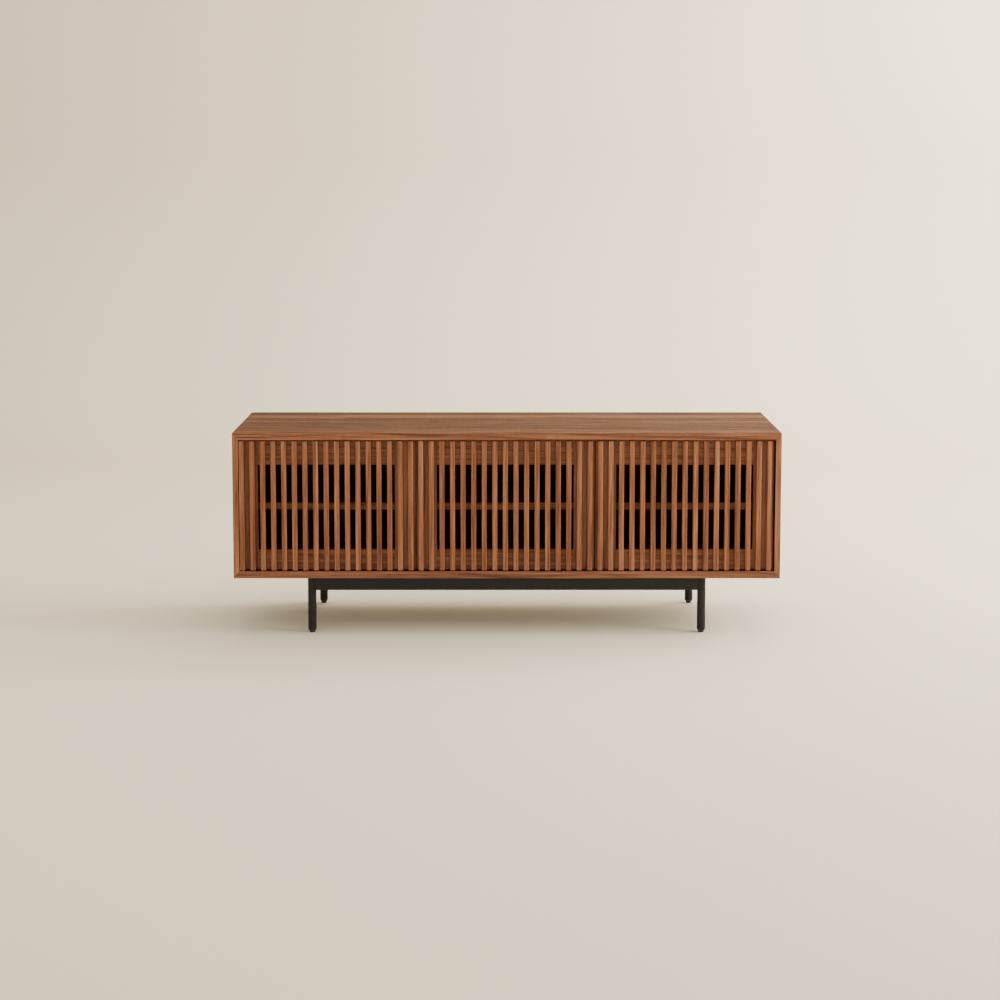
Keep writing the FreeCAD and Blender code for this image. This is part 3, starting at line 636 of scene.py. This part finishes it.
def sweep(bm, path, radius, sides=8):
    """A round bead along a path, closed at both ends."""
    frames = []
    for place, point in enumerate(path):
        before, after = path[max(place - 1, 0)], path[min(place + 1, len(path) - 1)]
        turn = (after - before).to_track_quat("Z", "Y").to_matrix().to_4x4()
        frames.append(Matrix.Translation(point) @ turn)
    start = bmesh.ops.create_circle(bm, cap_ends=True, segments=sides, radius=radius,
                                    matrix=frames[0])["verts"]
    edges = list({edge for vert in start for edge in vert.link_edges})
    for last, following in zip(frames, frames[1:]):
        grown = bmesh.ops.extrude_edge_only(bm, edges=edges)["geom"]
        bmesh.ops.transform(bm, verts=new_verts(grown), matrix=following @ last.inverted())
        edges = far_edges(grown)
    bmesh.ops.edgeloop_fill(bm, edges=edges)


def shade(bm, smooth_under):
    """Smooths curved faces and rounded edges, and keeps the flat faces between them flat."""
    worn = bm.faces.layers.float.get("worn")
    for face in bm.faces:
        face.smooth = True
    for edge in bm.edges:
        if not edge.is_manifold:
            continue
        rounded = [bool(worn) and face[worn] > 0.5 for face in edge.link_faces]
        limit = SMOOTH_ROUNDING if all(rounded) else smooth_under
        edge.smooth = rounded[0] == rounded[1] and edge.calc_face_angle() < limit


def finish_piece(bm, name, body, nodes, materials, choose=None,
                 smooth_under=SMOOTH_UNDER):
    """Turns a mesh into a piece that rides on a body and stands for its CAD nodes.

    choose gives a face's place in the list of materials."""
    shade(bm, smooth_under)
    mesh = bpy.data.meshes.new(name)
    for material in materials:
        mesh.materials.append(material)
    if choose:
        for face in bm.faces:
            face.material_index = choose(face)
    bm.to_mesh(mesh)
    bm.free()
    piece = bpy.data.objects.new(name, mesh)
    bpy.context.scene.collection.objects.link(piece)
    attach(piece, body)
    if nodes:
        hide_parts(*nodes)


def eased_piece(name, body, materials, width, chance=None, tone_spread=0.0,
                choose=None, longer_than=MOST_EDGES, segments=2):
    """A CAD node with eased edges and, where it is wood, its own grain."""
    bm = joined_copy(name)
    if chance:
        mark_boards(bm, chance, tone_spread)
    ease(bm, width, longer_than, segments)
    finish_piece(bm, f"{name}_finished", body, [name], materials, choose)


# ---------------------------------------------------------------- operators

class CABINET_OT_stage(bpy.types.Operator):
    """Sets up the pale backdrop, the soft lights and the camera"""
    bl_idname = "cabinet.stage"
    bl_label = "Stage"

    def execute(self, context):
        studio = context.scene.cabinet_studio
        self.backdrop()
        for name, place, aim, width, colour in SOFT_LIGHTS:
            self.soft_light(name, Vector(place), Vector(aim), width, getattr(studio, name), colour)
        world = bpy.data.worlds.new("Studio")
        context.scene.world = world
        world.use_nodes = True
        sky = world.node_tree.nodes["Background"]
        sky.inputs["Color"].default_value = SKY_COLOUR
        sky.inputs["Strength"].default_value = studio.sky_light
        lens = bpy.data.cameras.new("camera")
        lens.lens = studio.lens
        lens.shift_x, lens.shift_y = studio.shift
        camera = bpy.data.objects.new("camera", lens)
        camera.location = studio.camera_place
        camera.rotation_euler = (pi / 2 - studio.camera_tilt, 0.0, 0.0)
        context.scene.collection.objects.link(camera)
        context.scene.camera = camera
        return {"FINISHED"}

    def backdrop(self):
        """A floor that curves up into a wall."""
        reach, wall_at, curve, wall_height = 9.0, 2.6, 1.4, 5.0
        bm = bmesh.new()
        front = [bm.verts.new((side * reach, -reach, 0.0)) for side in (-1, 1)]
        edge = bm.edges.new(front)
        floor = bmesh.ops.extrude_edge_only(bm, edges=[edge])["geom"]
        bmesh.ops.translate(bm, verts=new_verts(floor), vec=(0.0, reach + wall_at, 0.0))
        swept = bmesh.ops.spin(bm, geom=far_edges(floor), cent=(0.0, wall_at, curve),
                               axis=(1.0, 0.0, 0.0), angle=pi / 2, steps=24)["geom_last"]
        wall = bmesh.ops.extrude_edge_only(bm, edges=far_edges(swept))["geom"]
        bmesh.ops.translate(bm, verts=new_verts(wall), vec=(0.0, 0.0, wall_height))
        bmesh.ops.recalc_face_normals(bm, faces=bm.faces)
        mesh = bpy.data.meshes.new("backdrop")
        bm.to_mesh(mesh)
        bm.free()
        mesh.shade_smooth()
        material, tree, shader, coordinates = empty_material("Backdrop paint")
        mottle = noise(tree, coordinates, 1.2, detail=3.0)
        paint = colours().backdrop
        tint = blended(tree, mottle, rgba(paint, 0.985), rgba(paint, 1.015))
        tree.links.new(tint, shader.inputs["Base Color"])
        shader.inputs["Roughness"].default_value = 0.9
        mesh.materials.append(material)
        floor_object = bpy.data.objects.new("backdrop", mesh)
        bpy.context.scene.collection.objects.link(floor_object)

    def soft_light(self, name, place, aim, width, power, colour):
        """A round light that points at a place."""
        light = bpy.data.lights.new(name, "AREA")
        light.shape = "DISK"
        light.size = width
        light.energy = power
        light.color = colour
        lamp = bpy.data.objects.new(name, light)
        lamp.location = place
        lamp.rotation_euler = (aim - place).to_track_quat("-Z", "Y").to_euler()
        bpy.context.scene.collection.objects.link(lamp)


def inner_face_chooser():
    """Gives 1 for a face inside the case, which takes the near-black painted shade, and 0 for one
    outside.
    """
    inner_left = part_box("left_side_panel")[1].x
    inner_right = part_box("right_side_panel")[0].x
    inner_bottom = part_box("bottom_panel")[1].z
    inner_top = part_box("top_panel")[0].z
    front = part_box("left_divider")[0].y

    def inside(face):
        centre = face.calc_center_median()
        if not inner_left - HAIR <= centre.x <= inner_right + HAIR:
            return 0
        if not inner_bottom - HAIR <= centre.z <= inner_top + HAIR:
            return 0
        return 1 if max(vert.co.y for vert in face.verts) > front else 0

    return inside


class CABINET_OT_case(bpy.types.Operator):
    """Makes the case's panels, dividers and back, and what joins them"""
    bl_idname = "cabinet.case"
    bl_label = "Case"

    def execute(self, context):
        chance = random.Random(sizes().seed)
        edge = sizes().board_edge
        inside = inner_face_chooser()
        across = walnut("Walnut across", TURNED_ALONG_X)
        # Lighter copy of walnut for the side panels' front edges: painted light.
        upright = walnut("Walnut upright", TURNED_ALONG_Z, 1.07)
        # Darker, slightly less blue copy of walnut for the top's upper face: painted shade that
        # offsets the light falling on it.
        top = walnut("Walnut top", TURNED_ALONG_X, 0.45, leaf_width=0.038, leaf_tone=0.95,
                     growth_lines=0.5, contrast=1.35, gloss_level=0.04, tint=(1.0, 1.0, 0.98))
        # Darker copy of walnut for the side panels' outer faces: painted shade that offsets the
        # key light on them.
        side = walnut("Walnut side", TURNED_ALONG_Z, 0.46, leaf_width=0.09, gloss_level=0.04)
        # Darker copy of walnut for the bottom panel's front edge: painted shade against the light
        # that falls on it.
        bottom = walnut("Walnut bottom", TURNED_ALONG_X, 0.84)
        # Much darker copy of walnut for the underside: painted shade, which also deepens the
        # shadow beneath.
        underside = walnut("Walnut underside", TURNED_ALONG_X, 0.3, leaf_width=0.12)
        # The inside of the case takes the near-black painted shade.
        inside_shade_across = inside_shade("Espresso across", TURNED_ALONG_X)
        inside_shade_upright = inside_shade("Espresso upright", TURNED_ALONG_Z)

        # A panel's materials: its edges, its faces inside the case, its outer face. The outer
        # faces take darker copies of walnut: painted shade.
        eased_piece("top_panel", "case", [across, inside_shade_across, top],
                    edge, chance, longer_than=LONG_EDGES,
                    choose=lambda face: 2 if face.normal.z > MOSTLY else inside(face))
        eased_piece("bottom_panel", "case", [bottom, inside_shade_across, underside],
                    edge, chance, longer_than=LONG_EDGES,
                    choose=lambda face: 2 if face.normal.z < -MOSTLY else inside(face))
        for name in SIDES:
            eased_piece(f"{name}_side_panel", "case",
                        [upright, inside_shade_upright, side],
                        edge, chance, longer_than=SIDE_PANEL_EDGES,
                        choose=lambda face: inside(face) or 2 * (abs(face.normal.x) > MOSTLY))
            eased_piece(f"{name}_divider", "case", [inside_shade_upright],
                        edge, chance, longer_than=LONG_EDGES)
        eased_piece("back_panel", "case", [inside_shade_across],
                    BACK_ROUNDING, chance, longer_than=LONG_EDGES)
        for name in ("corner_tongues", "divider_dowels"):
            eased_piece(name, "case", [raw_birch()], BIRCH_ROUNDING, chance)
        return {"FINISHED"}


class CABINET_OT_shelves(bpy.types.Operator):
    """Makes the shelves, their front edgings and their pins"""
    bl_idname = "cabinet.shelves"
    bl_label = "Shelves"

    def execute(self, context):
        chance = random.Random(sizes().seed + 1)
        # The shelves take the near-black painted shade of the case's inside.
        inside_shade_wood = inside_shade("Espresso across", TURNED_ALONG_X)
        edging = walnut("Walnut edging", TURNED_ALONG_X)
        for name in DOORS:
            eased_piece(f"{name}_shelf", "case", [inside_shade_wood],
                        sizes().board_edge, chance, longer_than=LONG_EDGES)
        eased_piece("shelf_edgings", "case", [edging],
                    sizes().board_edge, chance, tone_spread=0.05)
        eased_piece("shelf_pins", "case", [zinc_plate()],
                    FINE_ROUNDING, longer_than=ROUND_EDGES)
        return {"FINISHED"}


class CABINET_OT_doors(bpy.types.Operator):
    """Makes each door's frame and its row of slats"""
    bl_idname = "cabinet.doors"
    bl_label = "Doors"

    def execute(self, context):
        chance = random.Random(sizes().seed + 2)
        edge = sizes().slat_edge
        # Lighter copy of walnut for the slats' lit fronts: painted light.
        slat_wood = walnut("Walnut slats", TURNED_ALONG_Z, 1.12, growth_lines=0.2,
                           contrast=0.85, gloss_level=0.17)
        # Darker copies of walnut for the frames behind the slats: painted shade from the slats.
        upright = walnut("Walnut frame upright", TURNED_ALONG_Z, 0.68, contrast=0.8)
        across = walnut("Walnut frame across", TURNED_ALONG_X, 0.72, contrast=0.8)
        boards = [(f"{side}_stile", upright) for side in SIDES]
        boards += [(f"{end}_rail", across) for end in ("top", "bottom")]
        for door in DOORS:
            body = f"{door}_door"
            eased_piece(f"{body}_slats", body, [slat_wood],
                        edge, chance, tone_spread=0.03)
            for board, wood in boards:
                eased_piece(f"{body}_{board}", body, [wood],
                            edge, chance, tone_spread=0.04, longer_than=FRAME_EDGES)
        return {"FINISHED"}


class CABINET_OT_fittings(bpy.types.Operator):
    """Makes the pivots, latches, cable outlets and their screws"""
    bl_idname = "cabinet.fittings"
    bl_label = "Fittings"

    def execute(self, context):
        edge = sizes().metal_edge
        steel, dark, plastic = zinc_plate(), burnished_steel(), black_plastic()
        for door in DOORS:
            body = f"{door}_door"
            eased_piece(f"{body}_pivot_leaves", body, [dark], edge)
            eased_piece(f"{body}_strike_plate", body, [steel], edge)
            self.screws(f"{body}_screws", body, steel)
            eased_piece(f"{door}_latch_plunger", f"{door}_plunger",
                        [grey_plastic()], MOULDED_ROUNDING, longer_than=PLUNGER_EDGES,
                        segments=MOULDED_SEGMENTS)
        eased_piece("case_pivot_plates", "case", [dark], edge)
        for name in ("pivot_plate_screws", "latch_screws"):
            self.screws(name, "case", steel)
        eased_piece("pivot_washers", "case", [black_nylon()], edge)
        eased_piece("latch_housings", "case", [plastic], MOULDED_ROUNDING,
                    longer_than=HOUSING_EDGES, segments=MOULDED_SEGMENTS)
        eased_piece("outlet_sleeves", "case", [plastic], edge,
                    longer_than=SLEEVE_EDGES)
        self.outlet_caps(plastic)
        return {"FINISHED"}

    def outlet_caps(self, plastic):
        """Caps with a rim round their fronts, a little proud of the disc inside it."""
        rim, step = 0.0025, 0.0006
        cap_front = 0.001       # square metres; a cap's other faces are smaller
        bm = joined_copy("outlet_caps")
        fronts = [face for face in bm.faces
                  if face.normal.y < -MOSTLY and face.calc_area() > cap_front]
        for inset, sunk in ((rim, 0.0), (step, -step)):
            bmesh.ops.inset_region(bm, faces=fronts, thickness=inset, depth=sunk,
                                   use_even_offset=True)
        finish_piece(bm, "outlet_caps_finished", "case", ["outlet_caps"],
                     [plastic])

    def screws(self, name, body, steel):
        """Flat-headed screws with a cross for the driver."""
        bm = joined_copy(name)
        for head in driven_heads(bm):
            sink_socket(bm, head, cross(*SCREW_CROSS), SCREW_SOCKET_DEPTH)
        finish_piece(bm, f"{name}_finished", body, [name], [steel])


class CABINET_OT_base(bpy.types.Operator):
    """Makes the steel base: legs, rails, corner plates, bolts and glides"""
    bl_idname = "cabinet.base"
    bl_label = "Base"

    def execute(self, context):
        coat = black_coat()
        edge = sizes().metal_edge
        for leg in LEGS:
            eased_piece(f"{leg}_leg", "case", [coat], edge,
                        longer_than=ROUND_EDGES)
        for rail in ("front", "back", "left", "right"):
            eased_piece(f"{rail}_rail", "case", [coat], RAIL_ROUNDING,
                        longer_than=RAIL_EDGES, segments=MOULDED_SEGMENTS)
        eased_piece("corner_plates", "case", [coat], edge)
        self.bolts(edge)
        self.welds(coat)
        eased_piece("foot_glides", "case", [black_rubber()], edge,
                    longer_than=ROUND_EDGES)
        return {"FINISHED"}

    def bolts(self, edge):
        """Bolts with a six-sided socket in their heads."""
        bm = joined_copy("base_bolts")
        ease(bm, edge)
        for head in driven_heads(bm):
            sink_socket(bm, head, polygon(6, HEX_RADIUS), HEX_DEPTH)
        finish_piece(bm, "base_bolts_finished", "case", ["base_bolts"],
                     [black_zinc()])

    def welds(self, coat):
        """Beads down both sides of a rail's end and round under it, where it meets a leg."""
        bm = bmesh.new()
        low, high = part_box("front_rail")
        half = (high.y - low.y) / 2
        heights = [high.z + (low.z - high.z) * step / 4 for step in range(5)]
        for leg in LEGS:
            leg_low, leg_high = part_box(f"{leg}_leg")
            middle = (leg_low + leg_high) / 2
            radius = (leg_high.x - leg_low.x) / 2
            for way in (Vector((-1 if middle.x > 0 else 1, 0, 0)),
                        Vector((0, -1 if middle.y > 0 else 1, 0))):
                side = Vector((0, 0, 1)).cross(way)

                def on_leg(aside, height):
                    out = sqrt(radius ** 2 - aside ** 2)
                    place = Vector((middle.x, middle.y, height))
                    return place + way * out + side * aside

                path = [on_leg(half, height) for height in heights]
                path += [on_leg(half * (1 - step / 4), low.z) for step in range(1, 8)]
                path += [on_leg(-half, height) for height in reversed(heights)]
                sweep(bm, path, sizes().weld_bead)
        bmesh.ops.recalc_face_normals(bm, faces=bm.faces)
        finish_piece(bm, "weld_beads", "case", [], [coat],
                     smooth_under=SMOOTH_BEADS)


class CABINET_PT_panel(bpy.types.Panel):
    """Lists the steps that make the cabinet"""
    bl_label = "Slatted media cabinet"
    bl_idname = "CABINET_PT_panel"
    bl_space_type = "VIEW_3D"
    bl_region_type = "UI"
    bl_category = "Cabinet"

    def draw(self, context):
        for step in STEPS:
            self.layout.operator(step.bl_idname)


STEPS = (CABINET_OT_stage, CABINET_OT_case, CABINET_OT_shelves, CABINET_OT_doors,
         CABINET_OT_fittings, CABINET_OT_base)
SETTINGS = (CabinetSizes, CabinetColours, CabinetStudio)


def register():
    for kind in SETTINGS + STEPS + (CABINET_PT_panel,):
        bpy.utils.register_class(kind)
    bpy.types.Scene.cabinet_sizes = PointerProperty(type=CabinetSizes)
    bpy.types.Scene.cabinet_colours = PointerProperty(type=CabinetColours)
    bpy.types.Scene.cabinet_studio = PointerProperty(type=CabinetStudio)


def unregister():
    del bpy.types.Scene.cabinet_studio
    del bpy.types.Scene.cabinet_colours
    del bpy.types.Scene.cabinet_sizes
    for kind in reversed(SETTINGS + STEPS + (CABINET_PT_panel,)):
        bpy.utils.unregister_class(kind)


def main():
    register()
    for step in STEPS:
        family, name = step.bl_idname.split(".")
        getattr(getattr(bpy.ops, family), name)()


if __name__ == "__main__":
    main()
